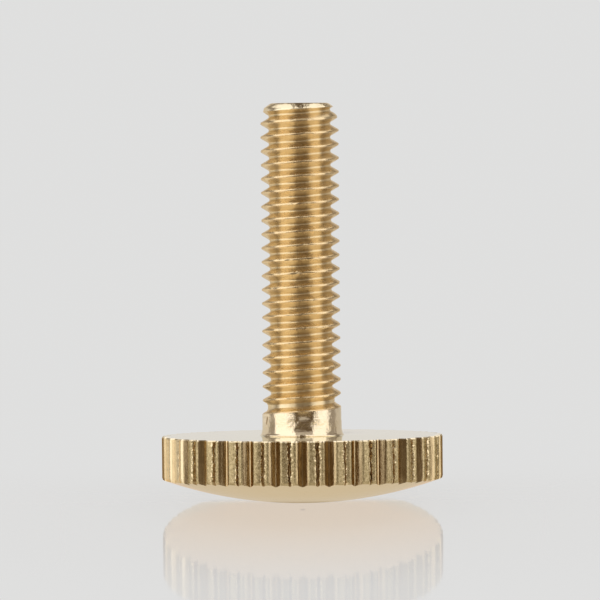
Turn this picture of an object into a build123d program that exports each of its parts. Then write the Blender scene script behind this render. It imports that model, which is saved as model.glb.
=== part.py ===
from build123d import *

import os
from math import ceil, radians, tan

# Brass thumb screw, turned from one piece of bar: a thin wide head with a knurled rim and a domed outer
# face, a short plain neck and a right-hand threaded shank. It stands on the dome, with the shank up along +Z.
# The origin is the pole of the dome. Lengths are in millimetres.

# Head
head_diameter = 14.24
rim_height = 2.17
dome_rise = 1.24
rim_chamfer = 0.06

# Straight knurl: V grooves along the axis, rolled into the rim
groove_count = 32
groove_width = 0.74
groove_floor_width = 0.06
groove_angle = 90

# Shank, measured from the flat face of the head, and the plain neck above its flare
shank_length = 16.82
neck_flare = 0.48
neck_length = 0.60
neck_step = 0.03

# Thread, M4 x 0.7, with a depth that is a share of the height of its sharp V
thread_diameter = 3.96
thread_pitch = 0.7
thread_angle = 60
thread_depth_share = 0.693
first_crest_share = 0.045
runout_length = 1.0

# Chamfered end of the thread
tip_inset = 0.11
tip_angle = 55

# How far a cutting or joining shape runs past the surface that it meets
overrun = 0.5

# Sizes that follow from those above
head_radius = head_diameter / 2
dome_radius = (head_radius**2 + dome_rise**2) / (2 * dome_rise)
face_height = dome_rise + rim_height
tip_height = face_height + shank_length

groove_depth = (groove_width - groove_floor_width) / 2 / tan(radians(groove_angle / 2))

crest_radius = thread_diameter / 2
half_angle = radians(thread_angle / 2)
thread_depth = thread_depth_share * thread_pitch / (2 * tan(half_angle))
root_radius = crest_radius - thread_depth
ridge_half_width = thread_depth * tan(half_angle)
neck_radius = crest_radius + neck_step
neck_top = face_height + neck_flare + neck_length

tip_radius = root_radius - tip_inset
tip_reach = crest_radius + overrun
tip_drop = (tip_reach - tip_radius) / tan(radians(tip_angle))

# The threaded rod starts inside the head and ends past the tip. Its skin is a ridge and a root strip,
# each one turn long, repeated once for every pitch.
first_crest = face_height + (first_crest_share - 1) * thread_pitch
rod_turns = ceil((tip_height - first_crest) / thread_pitch) + 1
ridge_foot = first_crest - ridge_half_width
ridge_section = [
    (root_radius, ridge_foot),
    (crest_radius, first_crest),
    (root_radius, first_crest + ridge_half_width),
    (root_radius, ridge_foot + thread_pitch),
]

with BuildLine():
    spine = Line((0, 0, ridge_foot), (0, 0, ridge_foot + thread_pitch))
    rails = [
        Helix(thread_pitch, thread_pitch, radius, center=(0, 0, height))
        for radius, height in ridge_section
    ]

with BuildSketch(Plane.XZ) as end_step:
    with BuildLine():
        Polyline((0, ridge_foot), *ridge_section, (0, ridge_foot + thread_pitch), close=True)
    make_face()

turn_faces = [
    Face.make_surface_from_curves(edge1=low, edge2=high) for low, high in zip(rails, rails[1:])
]
end_faces = [Face.make_surface_from_curves(edge1=spine, edge2=rails[0]), end_step.sketch.face()]
rod_skin = [
    face.moved(Pos(0, 0, turn * thread_pitch)) for turn in range(rod_turns) for face in turn_faces
]
rod_ends = [
    face.moved(Pos(0, 0, turn * thread_pitch)) for turn in (0, rod_turns) for face in end_faces
]

with BuildPart() as thread:
    add(Solid(Shell(rod_skin + rod_ends)))
    with BuildSketch(Plane.XZ):
        with BuildLine():
            Polyline(
                (0, 0),
                (tip_reach, 0),
                (tip_reach, tip_height - tip_drop),
                (tip_radius, tip_height),
                (0, tip_height),
                close=True,
            )
        make_face()
    revolve(axis=Axis.Z, mode=Mode.INTERSECT)

with BuildPart() as thumb_screw:
    # Head: a disc whose underside is part of a sphere, with the sphere's own poles turned to the sides
    with BuildSketch():
        Circle(head_radius)
    extrude(amount=face_height)
    with Locations((0, 0, dome_radius)):
        Sphere(dome_radius, rotation=(90, 0, 0), mode=Mode.INTERSECT)
    chamfer(thumb_screw.edges().group_by(Axis.Z)[-1], rim_chamfer)

    # Knurl
    with BuildSketch():
        with PolarLocations(head_radius, groove_count):
            Polygon(
                (overrun, -groove_width / 2),
                (0, -groove_width / 2),
                (-groove_depth, -groove_floor_width / 2),
                (-groove_depth, groove_floor_width / 2),
                (0, groove_width / 2),
                (overrun, groove_width / 2),
                align=None,
            )
    extrude(amount=face_height, mode=Mode.SUBTRACT)

    # Neck: a flare on the head's face, a plain cylinder and the cone where the thread runs out
    runout_slope = (neck_radius - root_radius) / runout_length
    with BuildSketch(Plane.XZ):
        with BuildLine():
            Bezier(
                (neck_radius + neck_flare, face_height),
                (neck_radius, face_height),
                (neck_radius, face_height + neck_flare),
            )
            Polyline(
                (neck_radius, face_height + neck_flare),
                (neck_radius, neck_top),
                (root_radius - overrun * runout_slope, neck_top + runout_length + overrun),
                (0, neck_top + runout_length + overrun),
                (0, dome_rise),
                (neck_radius + neck_flare, dome_rise),
                (neck_radius + neck_flare, face_height),
            )
        make_face()
    revolve(axis=Axis.Z)
    add(thread.part)

thumb_screw.part.label = "thumb_screw"

os.makedirs("parts", exist_ok=True)
export_step(thumb_screw.part, "parts/thumb_screw.step")
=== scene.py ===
"""Looks for a brass thumb screw: one fine mesh over the solid, brass by region, floor, light and camera."""

import math

import bpy
import numpy as np
from mathutils import Matrix, Vector


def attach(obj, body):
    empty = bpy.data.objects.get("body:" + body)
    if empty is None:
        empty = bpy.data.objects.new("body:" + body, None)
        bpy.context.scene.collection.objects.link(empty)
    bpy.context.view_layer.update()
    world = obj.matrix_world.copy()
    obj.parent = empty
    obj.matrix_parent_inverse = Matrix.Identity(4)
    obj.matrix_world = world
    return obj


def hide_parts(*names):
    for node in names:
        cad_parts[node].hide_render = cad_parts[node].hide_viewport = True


MM = 0.001
FULL_TURN = 2 * math.pi

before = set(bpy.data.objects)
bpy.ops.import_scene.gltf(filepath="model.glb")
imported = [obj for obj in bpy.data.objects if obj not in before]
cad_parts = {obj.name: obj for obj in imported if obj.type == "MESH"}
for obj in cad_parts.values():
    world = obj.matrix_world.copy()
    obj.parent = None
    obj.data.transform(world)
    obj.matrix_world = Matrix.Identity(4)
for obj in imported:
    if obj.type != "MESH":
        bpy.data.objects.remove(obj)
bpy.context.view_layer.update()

# Sizes of the solid, in millimetres
HEAD_RADIUS = 7.12
DOME_RISE = 1.24
DOME_RADIUS = (HEAD_RADIUS**2 + DOME_RISE**2) / (2 * DOME_RISE)
FACE_HEIGHT = 3.41
TIP_HEIGHT = 20.23
RIM_CHAMFER = 0.06
GROOVES = 32
GROOVE_WIDTH = 0.74
GROOVE_FLOOR = 0.06
GROOVE_DEPTH = (GROOVE_WIDTH - GROOVE_FLOOR) / 2
NECK_RADIUS = 2.01
NECK_FLARE = 0.48
PITCH = 0.7
CREST_RADIUS = 1.98
ROOT_RADIUS = 1.555
FIRST_CREST_SHARE = 0.045
FIRST_CREST = FACE_HEIGHT + (FIRST_CREST_SHARE - 1) * PITCH
FLANK_SLOPE = math.sqrt(3)
TIP_RADIUS = 1.45
TIP_SLOPE = math.tan(math.radians(55))


def smooth(low, high, value):
    """0 below low, 1 above high, with a soft step between."""
    share = np.clip((value - low) / (high - low), 0, 1)
    return share * share * (3 - 2 * share)


def round_points(radii, angles, heights):
    """Points at these radii, angles and heights about the axis."""
    radii, angles, heights = np.broadcast_arrays(radii, angles, heights)
    return np.stack([radii * np.cos(angles), radii * np.sin(angles), heights], axis=-1)


class Lattice:
    """Seeded noise on a grid of random values from -1 to 1 that closes on itself in its first direction."""

    def __init__(self, columns, rows, seed):
        self.values = np.random.default_rng(seed).uniform(-1, 1, (columns, rows))

    def __call__(self, around, along):
        """around is in turns; along runs from 0 to 1."""
        columns, rows = self.values.shape
        a = (around % 1.0) * columns
        b = np.clip(along, 0, 1) * (rows - 1)
        a0 = np.floor(a).astype(int)
        b0 = np.minimum(np.floor(b).astype(int), rows - 2)
        fa = smooth(0, 1, a - a0)
        fb = smooth(0, 1, b - b0)
        a1 = (a0 + 1) % columns
        a0 = a0 % columns
        low = self.values[a0, b0] * (1 - fa) + self.values[a1, b0] * fa
        high = self.values[a0, b0 + 1] * (1 - fa) + self.values[a1, b0 + 1] * fa
        return low * (1 - fb) + high * fb


class Skin:
    """Collects points, faces and the region that each face belongs to."""

    def __init__(self):
        self.points = []
        self.faces = []
        self.regions = []

    def add_points(self, points):
        """Adds points in any arrangement, and gives the list of their numbers."""
        start = len(self.points)
        self.points.extend(map(tuple, np.reshape(points, (-1, 3))))
        return list(range(start, len(self.points)))

    def add_face(self, corners, region):
        """Adds a face, with a corner that is listed twice counted once."""
        kept = tuple(dict.fromkeys(corners))
        if len(kept) > 2:
            self.faces.append(kept)
            self.regions.append(region)

    def zip_rings(self, inner, outer, region, flip=False):
        """Joins a ring to one with a whole number of times as many points, starting at the same angle."""
        times = len(outer) // len(inner)
        half = times // 2
        for i, near in enumerate(inner):
            after = inner[(i + 1) % len(inner)]
            span = [outer[(i * times + j) % len(outer)] for j in range(times + 1)]
            corners = [(near, span[j], span[j + 1]) for j in range(half)]
            corners.append((near, span[half], after))
            corners += [(after, span[j], span[j + 1]) for j in range(half, times)]
            for corner in corners:
                self.add_face(corner[::-1] if flip else corner, region)

    def join_rings(self, low, high, region):
        """Quads between two rings with the same number of points; low is below or inside."""
        count = len(low)
        for i in range(count):
            j = (i + 1) % count
            self.add_face((low[i], low[j], high[j], high[i]), region)

    def close_ring(self, ring, centre, region, flip=False):
        """Triangles from a ring to the point in its middle."""
        for i, near in enumerate(ring):
            after = ring[(i + 1) % len(ring)]
            self.add_face((after, near, centre) if flip else (near, after, centre), region)


skin = Skin()

# Shank: a strip that winds up the screw with the thread. Its first turn grows from a level ring at the foot
# of the neck, and its last turn closes on a level ring at the tip.
START_ANGLE = math.pi / 2
STEPS = 112
CREST_FLAT = 0.04
CREST_CROWN = 0.006
CREST_SOFT = 0.008
CREST_OFFSETS = (0.060, 0.035, 0.016, 0)
ROOT_ROUND = 0.108
ROOT_ANGLES = (0, 20, 40, 60)
root_apex = ROOT_RADIUS - ROOT_ROUND
crest_apex = root_apex + PITCH / 2 * FLANK_SLOPE

# Rows of the strip, as shares of the pitch from one root to the next
root_marks = [ROOT_ROUND * math.sin(math.radians(a)) for a in ROOT_ANGLES]
crest_marks = [PITCH / 2 - offset for offset in CREST_OFFSETS]
flank_mark = (root_marks[-1] + crest_marks[0]) / 2
rising = root_marks + [flank_mark] + crest_marks
falling = [PITCH - mark for mark in rising[-2:0:-1]]
row_marks = np.array(rising + falling) / PITCH
ROWS = len(row_marks)


def thread_radius(share):
    """Radius of the thread's rounded 60 degree section; share is 0 at a root and 0.5 at the crest."""
    from_crest = np.abs(share - 0.5) * PITCH
    from_root = PITCH / 2 - from_crest
    flank = crest_apex - from_crest * FLANK_SLOPE
    crown = CREST_RADIUS - CREST_CROWN * (from_crest / CREST_FLAT) ** 2
    ridge = -CREST_SOFT * np.logaddexp(-flank / CREST_SOFT, -crown / CREST_SOFT)
    root_arc = np.sqrt(np.maximum(ROOT_ROUND**2 - from_root**2, 0))
    in_arc = from_root < ROOT_ROUND * FLANK_SLOPE / 2
    return np.where(in_arc, root_apex + 2 * ROOT_ROUND - root_arc, ridge)


# Foot of the strip, in step with the thread, and how many steps bring it to the rounded edge of the tip
TIP_ROUND = 0.08
foot = FIRST_CREST - PITCH / 2 + PITCH * START_ANGLE / FULL_TURN + PITCH
edge_height = TIP_HEIGHT - TIP_ROUND
last_start = round((edge_height - foot) / PITCH * STEPS)
columns = last_start + STEPS

step = np.arange(columns)[:, None].astype(float)
angle = START_ANGLE + FULL_TURN * step / STEPS + 0 * row_marks[None, :]
turn = angle / FULL_TURN
groove = foot + PITCH * (step / STEPS - 1)
along = groove + row_marks * PITCH
along = np.where(step < STEPS, foot + row_marks * PITCH * step / STEPS, along)
along = np.where(step >= last_start, groove + row_marks * (edge_height - groove), along)

# Thread, with the groove's run-out into the neck as groove heights and the least radius there
RUNOUT_HEIGHTS = (4.46, 4.62, 4.74, 4.86, 5.22, 5.50)
RUNOUT_RADII = (NECK_RADIUS, 1.92, 1.77, 1.71, 1.66, ROOT_RADIUS)
crest_share = ((along - FIRST_CREST) / PITCH - turn + 0.5) % 1.0
nearest_groove = along - (((crest_share + 0.5) % 1.0) - 0.5) * PITCH
radius = thread_radius(crest_share)
radius = np.maximum(radius, np.interp(nearest_groove, RUNOUT_HEIGHTS, RUNOUT_RADII))

# Flare at the foot of the neck
FLARE_OUT = 0.20
flare_top = FACE_HEIGHT + NECK_FLARE
in_flare = along < flare_top
flare_share = np.clip((along - foot) / (flare_top - foot), 0, 1)
plain_radius = np.where(in_flare, NECK_RADIUS + FLARE_OUT * (1 - flare_share) ** 2, NECK_RADIUS)
radius = np.where(in_flare, plain_radius, radius)
height = np.where(in_flare, FACE_HEIGHT + NECK_FLARE * flare_share**2, along)

# Chamfer at the tip, with a slight lead below it
LEAD_RADIUS = 1.79
LEAD_SLOPE = 0.25
from_tip = TIP_HEIGHT - height
lead_depth = (LEAD_RADIUS - TIP_RADIUS) / TIP_SLOPE
chamfer = TIP_RADIUS + from_tip * TIP_SLOPE
tip_cone = np.minimum(chamfer, LEAD_RADIUS + (from_tip - lead_depth) * LEAD_SLOPE)
radius = np.minimum(radius, tip_cone)

# Wear: a slow waver of the whole thread, nicks in its crests and dents in the neck
WAVER = 0.005
NICK_DEPTH = 0.035
NICK_BAND = (0.3, 0.95)
THREAD_START = (4.9, 5.6)
CREST_BAND = (1.88, 1.97)
rise = (height - FACE_HEIGHT) / (TIP_HEIGHT - FACE_HEIGHT)
slow = Lattice(7, 60, 11)(turn, rise)
nick = Lattice(40, 160, 12)(turn, rise)
threaded = smooth(*THREAD_START, height)
at_crest = smooth(*CREST_BAND, radius) * threaded
radius = radius + WAVER * slow * threaded
radius = radius - at_crest * NICK_DEPTH * smooth(*NICK_BAND, nick)
radius = np.minimum(radius, plain_radius)


def dent(bearing, at_height, half_width, half_height, depth):
    """Depth of a shallow oval dent; bearing is in degrees from the front, to the right."""
    around = (angle - math.radians(bearing - 90) + math.pi) % FULL_TURN - math.pi
    up = (height - at_height) / half_height
    out = np.hypot(around * NECK_RADIUS / half_width, up)
    return depth * (1 - smooth(0.0, 1.0, out))


radius = radius - dent(2, 4.50, half_width=0.45, half_height=0.32, depth=0.055)
radius = radius - dent(14, 4.02, half_width=0.14, half_height=0.12, depth=0.012)
radius = radius - dent(-13, 4.05, half_width=0.12, half_height=0.16, depth=0.012)

shank_start = skin.add_points(round_points(radius, angle, height))[0]
tip_edge = TIP_RADIUS + TIP_ROUND * TIP_SLOPE
tip_angles = START_ANGLE + FULL_TURN * (last_start + np.arange(STEPS)) / STEPS
tip_start = skin.add_points(round_points(tip_edge, tip_angles, edge_height))[0]


def shank_index(k, m):
    """Point m of column k; past the last row the strip meets its next turn, and both ends close up."""
    if k == 0:
        return shank_start
    if m == ROWS:
        return shank_index(k + STEPS, 0)
    if k == STEPS and m == 0:
        return shank_start
    if k >= columns:
        return tip_start + (k - columns) % STEPS
    return shank_start + k * ROWS + m


# Where the regions of the shank meet, as heights, radii and small margins
FACE_MARGIN = 0.02
TIP_LENGTH = 0.42
TIP_MARGIN = 0.004
PLAIN_NECK_TOP = 4.4
NECK_TOP = 5.0
NECK_MARGIN = 0.014
CREST_FROM = 1.92
ROOT_MARGIN = 0.045


def shank_region(k, m):
    """The region of the face that starts at point m of column k."""
    at_height = height[k, m]
    at_radius = radius[k, m]
    if at_height < FACE_HEIGHT + FACE_MARGIN:
        return "face"
    if at_height > TIP_HEIGHT - TIP_LENGTH and at_radius > tip_cone[k, m] - TIP_MARGIN:
        return "tip"
    if at_height < PLAIN_NECK_TOP or at_height < NECK_TOP and at_radius > NECK_RADIUS - NECK_MARGIN:
        return "neck"
    if at_radius > CREST_FROM:
        return "crest"
    if at_radius < ROOT_RADIUS + ROOT_MARGIN:
        return "root"
    return "thread"


for k in range(columns):
    at_end = k + 1 == columns
    for m in range(ROWS):
        corners = (
            shank_index(k, m),
            shank_index(k + 1, 0 if at_end else m),
            shank_index(k + 1, 0 if at_end else m + 1),
            shank_index(k, m + 1),
        )
        skin.add_face(corners, shank_region(k, m))

neck_ring = [shank_index(k, 0) for k in range(STEPS)]

# Rounded edge and flat end of the tip, as rings with a radius and a depth below the end
TIP_RINGS = [(TIP_RADIUS + 0.03, 0.025), (TIP_RADIUS - 0.07, 0.0), (1.1, 0.0), (0.7, 0.0), (0.35, 0.0)]
tip_ring = [tip_start + (j - last_start) % STEPS for j in range(STEPS)]
ring_angles = START_ANGLE + FULL_TURN * np.arange(STEPS) / STEPS
for end_radius, drop in TIP_RINGS:
    ring = skin.add_points(round_points(end_radius, ring_angles, TIP_HEIGHT - drop))
    skin.join_rings(tip_ring, ring, "tip")
    tip_ring = ring
centre = skin.add_points((0, 0, TIP_HEIGHT))[0]
skin.close_ring(tip_ring, centre, "tip")

# Knurled rim: smooth grooves with a land between each two, and along each land a ragged seam between two
# ridges. A tooth is one land with half a groove on each side.
RIM_ROWS = 42
LAND_MARKS = [0.03, 0.06, 0.09, 0.125, 0.17, 0.22]
WALL_MARKS = [-0.05, 0.0, 0.04, 0.08, 0.13, 0.20, GROOVE_DEPTH]
half_tooth = math.pi * HEAD_RADIUS / GROOVES
edge = half_tooth - GROOVE_WIDTH / 2
half_marks = LAND_MARKS + [edge + mark for mark in WALL_MARKS]
across = np.array([-half_tooth] + [-mark for mark in reversed(half_marks)] + [0.0] + half_marks)
tooth = np.repeat(np.arange(GROOVES), len(across))
across_all = np.tile(across, GROOVES)
rim_angle = FULL_TURN * (tooth + 0.5) / GROOVES + across_all / HEAD_RADIUS
rim_turn = rim_angle / FULL_TURN
RIM = len(rim_angle)

level = np.linspace(0, 1, RIM_ROWS)[None, :]
u = across_all[:, None] + 0 * level
t = rim_turn[:, None] + 0 * level
v = level + 0 * u
side = np.abs(u)


def per_tooth(values):
    """A column that gives each point of the rim its tooth's value."""
    return values[tooth][:, None]


# Teeth that are rubbed bright, two teeth at the left and right edges that are painted dark all over as
# painted shade, and what differs from tooth to tooth
RUBBED = (17, 18, 3, 9)
SHADED_EDGE_TEETH = (16, 31)
RUBBED_SEAM = 0.12
RUBBED_GRAIN = 0.45
pick = np.random.default_rng(21)
seam_place = per_tooth(pick.uniform(0.04, 0.12, GROOVES))
seam_half = per_tooth(pick.uniform(0.055, 0.095, GROOVES))
seam_depths = pick.uniform(0.07, 0.15, GROOVES)
seam_depths[list(RUBBED)] *= RUBBED_SEAM
seam_depth = per_tooth(seam_depths)
left_drop = per_tooth(pick.uniform(0.0, 0.03, GROOVES))
right_drop = per_tooth(pick.uniform(0.0, 0.03, GROOVES))
rubbed_tooth = np.isin(tooth, RUBBED)[:, None]

# Noise: how each seam wanders and gapes along the tooth, and the grain of the lands
tooth_turn = ((tooth + 0.5) / GROOVES)[:, None] + 0 * level
wander = 0.03 * Lattice(GROOVES, 12, 22)(tooth_turn, v) + 0.025 * Lattice(GROOVES, 34, 23)(tooth_turn, v)
gape = 1 + 0.45 * Lattice(GROOVES, 9, 24)(tooth_turn, v) + 0.35 * Lattice(GROOVES, 36, 25)(tooth_turn, v)
grain = Lattice(GROOVES * 12, 22, 26)(t, v) + 0.5 * Lattice(GROOVES * 26, 44, 29)(t, v)
grit = np.random.default_rng(27).uniform(-1, 1, u.shape)

# Grooves with steep walls and rounded shoulders
SHOULDER = 0.10
RUBBED_SHOULDER = 0.17
WALL_INSET = 0.05
past_edge = side - edge - WALL_INSET
steep = GROOVE_DEPTH / (GROOVE_DEPTH - WALL_INSET)
soft = np.where(rubbed_tooth, RUBBED_SHOULDER, SHOULDER)
rounded = (past_edge + soft) ** 2 / (4 * soft)
groove_cut = steep * np.where(past_edge < soft, np.where(past_edge > -soft, rounded, 0), past_edge)
groove_cut = np.minimum(groove_cut, GROOVE_DEPTH)

# Lands: the seam, the slope towards it, and torn grain that is strongest beside it
LEAST_SEAM = 0.03
SLOPE_DEPTH = 0.035
SLOPE_REACH = 0.24
from_seam = np.abs(u - seam_place - wander)
seam_share = from_seam / np.maximum(seam_half * gape, LEAST_SEAM)
on_land = 1 - smooth(edge - 0.15, edge + 0.04, side)
seam_cut = seam_depth * (1 - smooth(0.35, 1.0, seam_share))
slope = SLOPE_DEPTH * (1 - smooth(0.0, 1.0, from_seam / SLOPE_REACH))
drop = np.where(u < 0, left_drop, right_drop) * on_land
torn = on_land * (0.25 + 0.75 * (1 - smooth(0.08, 0.30, from_seam)))
torn = torn * np.where(rubbed_tooth, RUBBED_GRAIN, 1.0)
cut = groove_cut + on_land * (seam_cut + slope) + drop
cut = cut + torn * (0.018 + 0.012 * grain + 0.004 * grit)
rim_radius = HEAD_RADIUS - np.maximum(cut, 0)

# Shares that set the region: inside the seam, and on the broken bright ridges beside it
in_seam = on_land * (1 - smooth(0.45, 0.95, seam_share))
beside_seam = smooth(0.95, 1.15, seam_share) * (1 - smooth(1.6, 2.0, seam_share))
on_ridge = on_land * beside_seam * smooth(-0.3, 0.2, grain)
REGION_SHARE = 0.9
GROOVE_MARGIN = 0.05
RUBBED_GROOVE_MARGIN = 0.10


def rim_region(i, j, row):
    """The region of the rim's face between columns i and j, at a row."""
    into_groove = max(past_edge[i, row], past_edge[j, row])
    if tooth[i] in RUBBED:
        return "groove" if into_groove > RUBBED_GROOVE_MARGIN else "rubbed"
    if into_groove > GROOVE_MARGIN:
        return "groove"
    # Painted shade: the inside of each seam and the two edge teeth take the seam's dark tones
    if tooth[i] in SHADED_EDGE_TEETH or in_seam[i, row] + in_seam[j, row] > REGION_SHARE:
        return "seam"
    return "rubbed" if on_ridge[i, row] + on_ridge[j, row] > REGION_SHARE else "land"


def dome_height(at_radius):
    """Height of the dome's surface at a radius from the axis."""
    return DOME_RADIUS - np.sqrt(DOME_RADIUS**2 - at_radius**2)


def rim_ring(radii, heights):
    """A ring of points at the rim's angles."""
    return skin.add_points(round_points(radii, rim_angle, heights))


RIM_FOOT = 0.10
RIM_FOOT_DEPTH = 0.06
LIP_JAG = 0.35
rim_bottom = dome_height(rim_radius[:, :1])
rim_z = rim_bottom + RIM_FOOT + level * (FACE_HEIGHT - RIM_CHAMFER - RIM_FOOT - rim_bottom)
land_share = 1 - smooth(edge - 0.05, edge + 0.12, np.abs(across_all))
foot_radii = rim_radius[:, 0] - RIM_FOOT_DEPTH * land_share
foot_ring = rim_ring(foot_radii, dome_height(foot_radii))
below = foot_ring
for row in range(RIM_ROWS):
    ring = rim_ring(rim_radius[:, row], rim_z[:, row])
    for i in range(RIM):
        j = (i + 1) % RIM
        skin.add_face((below[i], below[j], ring[j], ring[i]), rim_region(i, j, row))
    below = ring
top_jag = Lattice(GROOVES * 6, 3, 28)(rim_turn, 0 * rim_turn)
lip_radii = rim_radius[:, -1] - RIM_CHAMFER * (1.0 + LIP_JAG * top_jag) * land_share
lip_ring = rim_ring(lip_radii, FACE_HEIGHT)
skin.join_rings(below, lip_ring, "lip")

# Flat face of the head, from the rim in to the neck
FACE_RING_RADIUS = 6.55
face_ring = rim_ring(FACE_RING_RADIUS, FACE_HEIGHT)
skin.join_rings(lip_ring, face_ring, "face")
from_start = np.abs((rim_angle - START_ANGLE + math.pi) % FULL_TURN - math.pi)
first = int(np.argmin(from_start))
skin.zip_rings(neck_ring, face_ring[first:] + face_ring[:first], "face")

# Dome, with fewer points round it inside its first ring
DOME_EDGE_RADIUS = 6.45
DOME_RING_RADII = (6.2, 5.7, 5.2, 4.7, 4.2, 3.7, 3.2, 2.7, 2.2, 1.7, 1.2, 0.7, 0.3)
DOME_THINNING = 4
dome_ring = rim_ring(DOME_EDGE_RADIUS, dome_height(DOME_EDGE_RADIUS))
skin.join_rings(dome_ring, foot_ring, "dome")
for ring_radius in DOME_RING_RADII:
    ring = skin.add_points(round_points(ring_radius, rim_angle[::DOME_THINNING], dome_height(ring_radius)))
    if len(dome_ring) == RIM:
        skin.zip_rings(ring, dome_ring, "dome", flip=True)
    else:
        skin.join_rings(ring, dome_ring, "dome")
    dome_ring = ring
pole = skin.add_points((0, 0, 0))[0]
skin.close_ring(dome_ring, pole, "dome", flip=True)


class Nodes:
    """Short ways to add nodes to a material or world."""

    def __init__(self, owner):
        owner.use_nodes = True
        self.tree = owner.node_tree
        self.tree.nodes.clear()

    def add(self, kind, **settings):
        node = self.tree.nodes.new(kind)
        for name, value in settings.items():
            setattr(node, name, value)
        return node

    def put(self, socket, value):
        """Links an output to a socket, or sets the socket to a plain value."""
        if isinstance(value, bpy.types.NodeSocket):
            self.tree.links.new(value, socket)
        else:
            socket.default_value = value

    def end(self, kind, shader):
        """The output node, which shows a shader."""
        self.put(self.add(kind).inputs["Surface"], shader.outputs[0])

    def math(self, operation, *values):
        node = self.add("ShaderNodeMath", operation=operation)
        for socket, value in zip(node.inputs, values):
            self.put(socket, value)
        return node.outputs[0]

    def times(self, first, second):
        return self.math("MULTIPLY", first, second)

    def distance(self, first, second):
        return self.math("ABSOLUTE", self.math("SUBTRACT", first, second))

    def ramp(self, value, low, high, out_low=0.0, out_high=1.0):
        """Goes softly from out_low, at or below low, to out_high, at or above high."""
        node = self.add("ShaderNodeMapRange", interpolation_type="SMOOTHSTEP")
        for socket, item in zip(node.inputs, (value, low, high, out_low, out_high)):
            self.put(socket, item)
        return node.outputs[0]

    def fade(self, value, low, high):
        return self.ramp(value, low, high, 1.0, 0.0)

    def band(self, value, low, high, soft):
        """1 from low to high, with edges that are soft to each side of them."""
        rise = self.ramp(value, low - soft, low + soft)
        return self.times(rise, self.fade(value, high - soft, high + soft))

    def millimetres(self):
        place = self.add("ShaderNodeTexCoord").outputs["Object"]
        node = self.add("ShaderNodeVectorMath", operation="SCALE")
        self.put(node.inputs[0], place)
        node.inputs["Scale"].default_value = 1 / MM
        return node.outputs[0]

    def stretch(self, vector, scale):
        node = self.add("ShaderNodeVectorMath", operation="MULTIPLY")
        self.put(node.inputs[0], vector)
        node.inputs[1].default_value = scale
        return node.outputs[0]

    def noise(self, vector, scale, detail=2.0, roughness=0.5):
        node = self.add("ShaderNodeTexNoise")
        self.put(node.inputs["Vector"], vector)
        node.inputs["Scale"].default_value = scale
        node.inputs["Detail"].default_value = detail
        node.inputs["Roughness"].default_value = roughness
        return node.outputs["Fac"]

    def mix(self, share, first, second):
        """A colour between two."""
        node = self.add("ShaderNodeMix", data_type="RGBA")
        self.put(node.inputs[0], share)
        self.put(node.inputs[6], first)
        self.put(node.inputs[7], second)
        return node.outputs[2]

    def blend(self, share, first, second):
        """A shader between two."""
        node = self.add("ShaderNodeMixShader")
        self.put(node.inputs[0], share)
        self.put(node.inputs[1], first.outputs[0])
        self.put(node.inputs[2], second.outputs[0])
        return node

    def coloured(self, kind, colour):
        """A shader of one colour all over."""
        node = self.add(kind)
        node.inputs["Color"].default_value = colour
        return node

    def parts(self, vector):
        node = self.add("ShaderNodeSeparateXYZ")
        self.put(node.inputs[0], vector)
        return node.outputs

    def radius(self, vector):
        """Distance from the axis."""
        flat = self.stretch(vector, (1, 1, 0))
        node = self.add("ShaderNodeVectorMath", operation="LENGTH")
        self.put(node.inputs[0], flat)
        return node.outputs["Value"]

    def bearing(self, x, y):
        """Degrees from the front, to the right."""
        return self.math("DEGREES", self.math("ARCTAN2", x, self.times(y, -1.0)))

    def line(self, value):
        node = self.add("ShaderNodeCombineXYZ")
        self.put(node.inputs[0], value)
        return node.outputs[0]


# Brass. Marks are fine relief, made from a place in millimetres.
LINES_ROUND = (0.5, 0.5, 14.0)
LINES_ALONG = (7.0, 7.0, 0.6)


def turned_marks(nodes, place):
    """Fine lines round the axis, as a lathe tool leaves on a cylinder."""
    lines = nodes.noise(nodes.stretch(place, LINES_ROUND), 1.0, 3.0, 0.6)
    grain = nodes.noise(place, 9.0, 2.0, 0.5)
    return nodes.math("MULTIPLY_ADD", grain, 0.4, nodes.times(lines, 0.6))


def ring_marks(nodes, place):
    """Fine rings about the axis, as a facing cut leaves."""
    rings = nodes.noise(nodes.line(nodes.radius(place)), 9.0, 3.0, 0.6)
    grain = nodes.noise(place, 6.0, 2.0, 0.5)
    return nodes.math("MULTIPLY_ADD", grain, 0.3, nodes.times(rings, 0.7))


def worn_marks(nodes, place):
    """Fine lines round the axis with small dents and rubs between them."""
    lines = nodes.noise(nodes.stretch(place, LINES_ROUND), 1.0, 3.0, 0.6)
    dents = nodes.noise(place, 3.2, 3.0, 0.55)
    return nodes.math("MULTIPLY_ADD", dents, 0.8, nodes.times(lines, 0.2))


def rough_marks(nodes, place):
    """Torn grain of the knurl's lands."""
    coarse = nodes.noise(nodes.stretch(place, (1.0, 1.0, 0.7)), 9.0, 3.0, 0.65)
    fine = nodes.noise(place, 26.0, 2.0, 0.6)
    return nodes.math("MULTIPLY_ADD", fine, 0.45, nodes.times(coarse, 0.55))


def drawn_marks(nodes, place):
    """Faint streaks along the axis, as a knurling roller leaves in a groove."""
    return nodes.noise(nodes.stretch(place, LINES_ALONG), 1.6, 3.0, 0.55)


SLANT_MARK_HEIGHT = 4.2
SLANT_MARK_BEARING = -62.0
SLANT_MARK_TILT = 9.0
POLE_SPOT_EDGE = (0.10, 0.17)


def slant_mark(nodes, place):
    """A short slanted dark mark on the left of the neck."""
    x, y, z = nodes.parts(place)
    up = nodes.math("SUBTRACT", z, SLANT_MARK_HEIGHT)
    middle = nodes.math("MULTIPLY_ADD", up, SLANT_MARK_TILT, SLANT_MARK_BEARING)
    beside = nodes.distance(nodes.bearing(x, y), middle)
    return nodes.times(nodes.fade(beside, 1.0, 2.6), nodes.fade(nodes.math("ABSOLUTE", up), 0.14, 0.24))


def pole_spot(nodes, place):
    """A small dark spot at the pole of the dome."""
    return nodes.fade(nodes.radius(place), *POLE_SPOT_EDGE)


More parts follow.
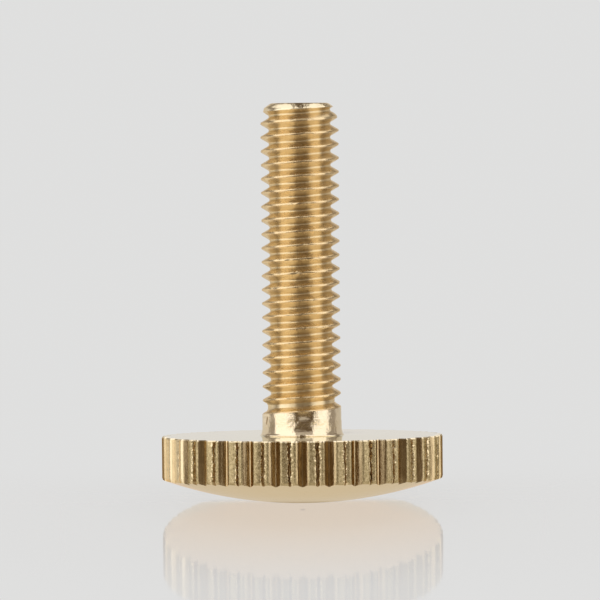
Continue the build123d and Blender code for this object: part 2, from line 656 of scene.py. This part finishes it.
# Tones of plain, clean brass
LIGHT = (0.88, 0.76, 0.54, 1)
PALE = (0.88, 0.77, 0.56, 1)
DEEP = (0.84, 0.70, 0.45, 1)
WARM = (0.90, 0.73, 0.46, 1)

# Tones of the thread and the neck
FLANK = (0.85, 0.715, 0.48, 1)
DEEP_FLANK = (0.81, 0.655, 0.40, 1)
# Painted shade: a darker tone for the thread's flanks that face up
SHADED_UPPER_FLANK = (0.78, 0.62, 0.385, 1)
CREST = (0.815, 0.635, 0.38, 1)
DEEP_CREST = (0.785, 0.605, 0.36, 1)
ROOT = (0.815, 0.655, 0.395, 1)
DEEP_ROOT = (0.785, 0.625, 0.375, 1)
BRIGHT_NECK = (0.90, 0.76, 0.56, 1)
PALE_NECK = (0.87, 0.73, 0.51, 1)

# Tones of the knurled rim
WORN = (0.645, 0.52, 0.30, 1)
DULL = (0.455, 0.36, 0.188, 1)
WALL = (0.70, 0.545, 0.315, 1)
TARNISH = (0.60, 0.455, 0.255, 1)
# Painted shade: the first and last of the next three tones darken the seams and the two edge teeth. The
# middle one is for small dark marks.
PAINTED_SHADE = (0.46, 0.325, 0.16, 1)
DARK_MARK = (0.42, 0.29, 0.14, 1)
DEEP_PAINTED_SHADE = (0.38, 0.255, 0.12, 1)

# Tints of light that glances off
GLANCE = (0.92, 0.84, 0.70, 1)
DOME_GLANCE = (0.93, 0.88, 0.78, 1)
CLEAN = (0.94, 0.93, 0.86, 1)
SILVER = (0.94, 0.98, 0.97, 1)


def brass(name, tones, gloss, marks, relief, grain=0.0, rim=None, shade_facing_up=None, dark_marks=None, fleck=1.5):
    """Brass whose tone, gloss and fine relief vary.

    tones are a light one and a deep one, and fleck is how many patches of them there are to a millimetre.
    gloss is the least and the most roughness, and relief the height of the marks. grain is how much more the
    lines round the axis scatter light across themselves than along. rim is the tint of light that glances
    off, top the painted shade given to what faces up, and stain the share of a small dark mark at a place."""
    light, deep = tones
    material = bpy.data.materials.new(name)
    nodes = Nodes(material)
    place = nodes.millimetres()
    cloud = nodes.noise(place, fleck, 3.0, 0.6)
    height = marks(nodes, place)
    shader = nodes.add("ShaderNodeBsdfPrincipled")
    shader.inputs["Metallic"].default_value = 1.0
    tone = nodes.mix(nodes.ramp(cloud, 0.3, 0.7), deep, light)
    # Painted shade: what faces up takes the darker tone given for it
    if shade_facing_up:
        facing = nodes.parts(nodes.add("ShaderNodeNewGeometry").outputs["Normal"])
        tone = nodes.mix(nodes.ramp(facing[2], 0.1, 0.6), tone, shade_facing_up)
    if dark_marks:
        tone = nodes.mix(dark_marks(nodes, place), tone, DARK_MARK)
    nodes.put(shader.inputs["Base Color"], tone)
    nodes.put(shader.inputs["Roughness"], nodes.ramp(height, 0.25, 0.75, *gloss))
    shader.inputs["Specular Tint"].default_value = rim or light
    if grain:
        shader.inputs["Anisotropic"].default_value = grain
        shader.inputs["Anisotropic Rotation"].default_value = 0.25
        lay = nodes.add("ShaderNodeTangent", direction_type="RADIAL", axis="Z")
        nodes.put(shader.inputs["Tangent"], lay.outputs[0])
    bump = nodes.add("ShaderNodeBump")
    bump.inputs["Strength"].default_value = 1.0
    bump.inputs["Distance"].default_value = relief * MM
    nodes.put(bump.inputs["Height"], height)
    nodes.put(shader.inputs["Normal"], bump.outputs[0])
    nodes.end("ShaderNodeOutputMaterial", shader)
    return material


materials = {
    "thread": brass(
        "brass_thread", (FLANK, DEEP_FLANK), (0.24, 0.38), turned_marks, 0.004, 0.7, GLANCE, SHADED_UPPER_FLANK
    ),
    "crest": brass("brass_crest", (CREST, DEEP_CREST), (0.18, 0.36), turned_marks, 0.010, 0.4, rim=GLANCE),
    "root": brass("brass_root", (ROOT, DEEP_ROOT), (0.28, 0.40), turned_marks, 0.004, 0.5, rim=GLANCE),
    "neck": brass(
        "brass_neck", (BRIGHT_NECK, PALE_NECK), (0.10, 0.18), worn_marks, 0.040, rim=CLEAN, dark_marks=slant_mark
    ),
    "tip": brass("brass_tip", (PALE, LIGHT), (0.12, 0.22), worn_marks, 0.040, rim=GLANCE),
    "land": brass("brass_land", (WORN, DULL), (0.13, 0.46), rough_marks, 0.032, fleck=7.0),
    "rubbed": brass("brass_rubbed", (WARM, DEEP), (0.18, 0.30), rough_marks, 0.010, fleck=6.0),
    # The seam's dark tones are painted shade in the seams and on the two edge teeth
    "seam": brass("brass_seam", (PAINTED_SHADE, DEEP_PAINTED_SHADE), (0.35, 0.55), rough_marks, 0.020),
    "groove": brass("brass_groove", (WALL, TARNISH), (0.15, 0.25), drawn_marks, 0.010),
    "lip": brass("brass_lip", (PALE, LIGHT), (0.15, 0.30), rough_marks, 0.010),
    "face": brass("brass_face", (PALE, LIGHT), (0.05, 0.10), ring_marks, 0.0006, rim=SILVER),
    "dome": brass("brass_dome", (PALE, LIGHT), (0.16, 0.24), ring_marks, 0.0015, rim=DOME_GLANCE, dark_marks=pole_spot),
}

# The screw's mesh, one material for each region
SHARP_ANGLE = math.radians(38)
region_number = {region: number for number, region in enumerate(materials)}
mesh = bpy.data.meshes.new("thumb_screw_skin")
mesh.from_pydata((np.array(skin.points) * MM).tolist(), [], skin.faces)
for material in materials.values():
    mesh.materials.append(material)
mesh.polygons.foreach_set("material_index", [region_number[region] for region in skin.regions])
mesh.polygons.foreach_set("use_smooth", [True] * len(skin.faces))
mesh.validate()
mesh.set_sharp_from_angle(angle=SHARP_ANGLE)
mesh.update()
screw = bpy.data.objects.new("thumb_screw_skin", mesh)
bpy.context.scene.collection.objects.link(screw)
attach(screw, "root")
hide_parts("thumb_screw")

# Stage. The camera sees one floor, and the metal sees another. Places on them are in millimetres: away is
# the distance from the axis, east is to the right and north is to the back.
BACKDROP = (0.74, 0.74, 0.735, 1)
FLOOR_TONE = (0.74, 0.73, 0.72, 1)
MIRROR_TONE = (1.0, 1.0, 1.0, 1)
WHITE = (1.0, 1.0, 1.0, 1)
FLOOR_SIZE = 76.0
MATT = "ShaderNodeBsdfDiffuse"
MIRROR = "ShaderNodeBsdfGlossy"
CLEAR = "ShaderNodeBsdfTransparent"
GLOW = "ShaderNodeEmission"


def stage_mesh(name, points, faces):
    """A piece of the stage with its own material, whose nodes are returned."""
    mesh = bpy.data.meshes.new(name)
    mesh.from_pydata((np.array(points) * MM).tolist(), [], faces)
    piece = bpy.data.objects.new(name, mesh)
    bpy.context.scene.collection.objects.link(piece)
    material = bpy.data.materials.new(name)
    mesh.materials.append(material)
    return Nodes(material)


def once_through(nodes, rays):
    """1 for a ray that has passed through a clear sheet."""
    return nodes.math("GREATER_THAN", rays.outputs["Transparent Depth"], 0.5)


# Floor that the camera sees: a pale plane that falls towards the camera, so that the screw leans back on its
# dome. It has a soft shadow and a faint reflection that fades with distance. A clear sheet lies just over
# it, so that each ray that comes from the floor has passed through one.
FLOOR_FALL = math.radians(8.0)
FLOOR_REACH = (-60.0, 13.0)
SHEET_LIFT = 0.02
SHADOW = 0.10
SHADOW_FADE = (8.0, 30.0)
SHADOW_BACK = (3.0, 12.0)
MIRROR_ROUGHNESS = 0.06
MIRROR_NEAR = 0.48
MIRROR_FAR = 0.14
MIRROR_FADE = (2.0, 22.0)
MIRROR_END = (24.0, 34.0)
MIRROR_SIDES = (8.0, 20.0)
MIRROR_FRONT = (0.6, 2.6)
MIRROR_BEHIND = (3.0, 4.5)
MIRROR_BACK = (8.0, 15.0)


def on_floor(x, along, lift):
    """A point over the floor, at x and a distance along its slope from where it touches the dome."""
    touch_y = DOME_RADIUS * math.sin(FLOOR_FALL)
    touch_z = DOME_RADIUS * (1 - math.cos(FLOOR_FALL))
    return x, touch_y + along * math.cos(FLOOR_FALL), touch_z + along * math.sin(FLOOR_FALL) + lift


floor_points = []
for lift in (0.0, SHEET_LIFT):
    for along in FLOOR_REACH:
        floor_points += [on_floor(-FLOOR_SIZE, along, lift), on_floor(FLOOR_SIZE, along, lift)]
nodes = stage_mesh("floor", floor_points, [(0, 1, 3, 2), (4, 5, 7, 6)])
rays = nodes.add("ShaderNodeLightPath")
spot = nodes.millimetres()
away = nodes.radius(spot)
east, north, _ = nodes.parts(spot)
shaded = nodes.times(nodes.ramp(away, *SHADOW_FADE, SHADOW, 0.0), nodes.fade(north, *SHADOW_BACK))
behind = nodes.times(nodes.ramp(north, *MIRROR_BEHIND), nodes.fade(north, *MIRROR_BACK))
both_sides = nodes.math("MAXIMUM", nodes.fade(north, *MIRROR_FRONT), behind)
beneath = nodes.times(both_sides, nodes.fade(nodes.math("ABSOLUTE", east), *MIRROR_SIDES))
polished = nodes.ramp(away, *MIRROR_FADE, MIRROR_NEAR, MIRROR_FAR)
polished = nodes.times(polished, nodes.fade(away, *MIRROR_END))
mirror = nodes.coloured(MIRROR, MIRROR_TONE)
mirror.inputs["Roughness"].default_value = MIRROR_ROUGHNESS
seen = nodes.blend(nodes.times(polished, beneath), nodes.coloured(GLOW, BACKDROP), mirror)
seen = nodes.blend(shaded, seen, nodes.coloured(MATT, FLOOR_TONE))
from_above = nodes.math("SUBTRACT", 1.0, nodes.add("ShaderNodeNewGeometry").outputs["Backfacing"])
looked_at = nodes.times(rays.outputs["Is Camera Ray"], from_above)
looked_at = nodes.times(looked_at, once_through(nodes, rays))
nodes.end("ShaderNodeOutputMaterial", nodes.blend(looked_at, nodes.coloured(CLEAR, WHITE), seen))

# Floor that the metal sees: level, at the dome's pole. Close to the screw it is pale, with a painted contact
# shadow: a small dark disc round the pole. Farther off it shows what a polished floor would: dark room in
# front, a bright patch on the left and the studio elsewhere.
DISC_SIDES = 96
UNDER = (0.72, 0.66, 0.58, 1)
UNDER_MIRRORED = (0.84, 0.70, 0.60, 1)
UNDER_EDGE = (9.0, 20.0)
CONTACT_SHADE = (0.50, 0.43, 0.33, 1)
CONTACT_SHADE_EDGE = (1.6, 2.4)
ROOM = (0.15, 0.11, 0.065, 1)
ROOM_BEARING = 3.0
ROOM_EDGE = (40.0, 48.0)
GLEAM = (0.95, 0.92, 0.88, 1)
GLEAM_BEARING = -125.0
GLEAM_EDGE = (22.0, 28.0)

disc_angles = FULL_TURN * np.arange(DISC_SIDES) / DISC_SIDES
nodes = stage_mesh("surroundings", round_points(FLOOR_SIZE, disc_angles, 0.0), [tuple(range(DISC_SIDES))])
rays = nodes.add("ShaderNodeLightPath")
spot = nodes.millimetres()
away = nodes.radius(spot)
east, north, _ = nodes.parts(spot)
heading = nodes.bearing(east, north)
clear = nodes.coloured(CLEAR, WHITE)
from_room = nodes.distance(heading, ROOM_BEARING)
from_gleam = nodes.distance(heading, GLEAM_BEARING)
far = nodes.blend(nodes.ramp(from_room, *ROOM_EDGE), nodes.coloured(GLOW, ROOM), clear)
far = nodes.blend(nodes.ramp(from_gleam, *GLEAM_EDGE), nodes.coloured(GLOW, GLEAM), far)
# Painted contact shadow: a dark glowing disc round the pole, where the dome meets the floor
close = nodes.blend(nodes.ramp(away, *CONTACT_SHADE_EDGE), nodes.coloured(GLOW, CONTACT_SHADE), nodes.coloured(GLOW, UNDER))
close = nodes.blend(once_through(nodes, rays), close, nodes.coloured(GLOW, UNDER_MIRRORED))
mirrored = nodes.blend(nodes.ramp(away, *UNDER_EDGE), close, far)
other = nodes.blend(rays.outputs["Is Glossy Ray"], nodes.coloured(MATT, FLOOR_TONE), mirrored)
from_below = nodes.add("ShaderNodeNewGeometry").outputs["Backfacing"]
unseen = nodes.math("MAXIMUM", rays.outputs["Is Camera Ray"], from_below)
nodes.end("ShaderNodeOutputMaterial", nodes.blend(unseen, other, clear))

# Studio: two tall soft boxes in front, to the left and right, a soft light overhead in two halves, a pale
# backdrop behind, and dark room between them. The camera sees the backdrop's colour all round, and so does
# the floor where it mirrors nothing else. Spans, bearings and soft edges are in degrees. Other limits are
# parts of a direction of length 1.
DARK = (0.105, 0.072, 0.042)
BRIGHT = 1.28
RIGHT_BOX = 0.94
RIGHT_BOX_SPAN = (34.0, 86.0)
LEFT_BOX_SPAN = (22.0, 86.0)
BOX_SOFT = 2.0
SIDE = 0.24
RIGHT_SIDE_SPAN = (88.0, 112.0)
LEFT_SIDE_SPAN = (88.0, 108.0)
SIDE_SOFT = 4.0
BEHIND_RIGHT = 0.50
BEHIND_RIGHT_SPAN = (114.0, 160.0)
BEHIND_LEFT = 0.62
BEHIND_LEFT_SPAN = (110.0, 160.0)
BEHIND_SOFT = 6.0
BEHIND = 0.66
BEHIND_BEARINGS = (154.0, 166.0)
BEHIND_FADE = (0.30, 0.45)
BEHIND_HIGH = 0.25
FRONT_HIGH = 0.42
FRONT_SPAN = (-20.0, 30.0)
FRONT_SOFT = 4.0
FRONT_RISE = (0.12, 0.35)
OVERHEAD = 1.15
OVERHEAD_EDGE = (0.70, 0.80)
OVERHEAD_TILT = 0.22
OVERHEAD_BACK = (0.66, 0.76)
OVERHEAD_GAP = (0.10, 0.16)
ABOVE_LEVEL = (0.0, 0.01)
DEPTH_FROM_FLOOR = 2.5

world = bpy.data.worlds.new("studio")
bpy.context.scene.world = world
nodes = Nodes(world)
x, y, z = nodes.parts(nodes.add("ShaderNodeTexCoord").outputs["Generated"])
to_right = nodes.bearing(x, y)
to_left = nodes.times(to_right, -1.0)

# Below the overhead light
height_to_rear = nodes.math("MULTIPLY_ADD", nodes.math("MAXIMUM", y, 0.0), OVERHEAD_TILT, z)
low = nodes.fade(height_to_rear, *OVERHEAD_EDGE)
right_box = nodes.times(nodes.band(to_right, *RIGHT_BOX_SPAN, BOX_SOFT), RIGHT_BOX)
boxes = nodes.math("MAXIMUM", right_box, nodes.band(to_left, *LEFT_BOX_SPAN, BOX_SOFT))
right_side = nodes.band(to_right, *RIGHT_SIDE_SPAN, SIDE_SOFT)
sides = nodes.math("MAXIMUM", right_side, nodes.band(to_left, *LEFT_SIDE_SPAN, SIDE_SOFT))
front = nodes.times(nodes.band(to_right, *FRONT_SPAN, FRONT_SOFT), nodes.ramp(z, *FRONT_RISE))
behind_right = nodes.band(to_right, *BEHIND_RIGHT_SPAN, BEHIND_SOFT)
behind_left = nodes.band(to_left, *BEHIND_LEFT_SPAN, BEHIND_SOFT)
behind = nodes.ramp(nodes.math("ABSOLUTE", to_right), *BEHIND_BEARINGS)
lower = nodes.times(nodes.ramp(z, *BEHIND_FADE, 1.0, BEHIND_HIGH), low)

# Overhead
halves = nodes.ramp(nodes.math("ABSOLUTE", x), *OVERHEAD_GAP)
high = nodes.times(nodes.math("SUBTRACT", 1.0, low), nodes.fade(y, *OVERHEAD_BACK))

lights = [
    (boxes, low, BRIGHT),
    (halves, high, OVERHEAD),
    (sides, low, SIDE),
    (behind_right, lower, BEHIND_RIGHT),
    (behind_left, lower, BEHIND_LEFT),
    (front, low, FRONT_HIGH),
    (behind, lower, BEHIND),
]
lit = 0.0
for across_share, up_share, strength in lights:
    lit = nodes.math("MULTIPLY_ADD", nodes.times(across_share, up_share), strength, lit)
studio = nodes.add("ShaderNodeVectorMath", operation="ADD")
nodes.put(studio.inputs[0], lit)
studio.inputs[1].default_value = DARK

# A ray counts as depth 2 if it comes straight from the floor, and as 3 if it has met the metal on the way
rays = nodes.add("ShaderNodeLightPath")
straight = nodes.math("LESS_THAN", rays.outputs["Ray Depth"], DEPTH_FROM_FLOOR)
from_floor = nodes.times(once_through(nodes, rays), nodes.ramp(z, *ABOVE_LEVEL))
from_floor = nodes.times(from_floor, nodes.times(straight, rays.outputs["Is Glossy Ray"]))
plain = nodes.math("MAXIMUM", rays.outputs["Is Camera Ray"], from_floor)
light = nodes.add("ShaderNodeBackground")
nodes.put(light.inputs["Color"], nodes.mix(plain, studio.outputs[0], BACKDROP))
nodes.end("ShaderNodeOutputWorld", light)

# Camera: low and in front, with a long lens, as the photograph was taken
CAMERA_DISTANCE = 324.0
CAMERA_PLACE = Vector((0.0, -CAMERA_DISTANCE, 17.6)) * MM
LOOK_AT = Vector((-0.05, 0.0, 10.26)) * MM
LEAN = math.radians(0.5)
PIXELS_PER_MM = 19.757
PICTURE_PIXELS = 600.0
SENSOR_WIDTH = 36.0
camera_data = bpy.data.cameras.new("camera")
camera_data.sensor_width = SENSOR_WIDTH
camera_data.lens = SENSOR_WIDTH * PIXELS_PER_MM * CAMERA_DISTANCE / PICTURE_PIXELS
camera_data.clip_start = 0.01
camera_data.clip_end = 10.0
camera = bpy.data.objects.new("camera", camera_data)
bpy.context.scene.collection.objects.link(camera)
aim = (LOOK_AT - CAMERA_PLACE).to_track_quat("-Z", "Y").to_matrix().to_4x4()
camera.matrix_world = Matrix.Translation(CAMERA_PLACE) @ aim @ Matrix.Rotation(-LEAN, 4, "Z")
bpy.context.scene.camera = camera
bpy.context.scene.view_settings.view_transform = "Standard"

bpy.context.view_layer.update()
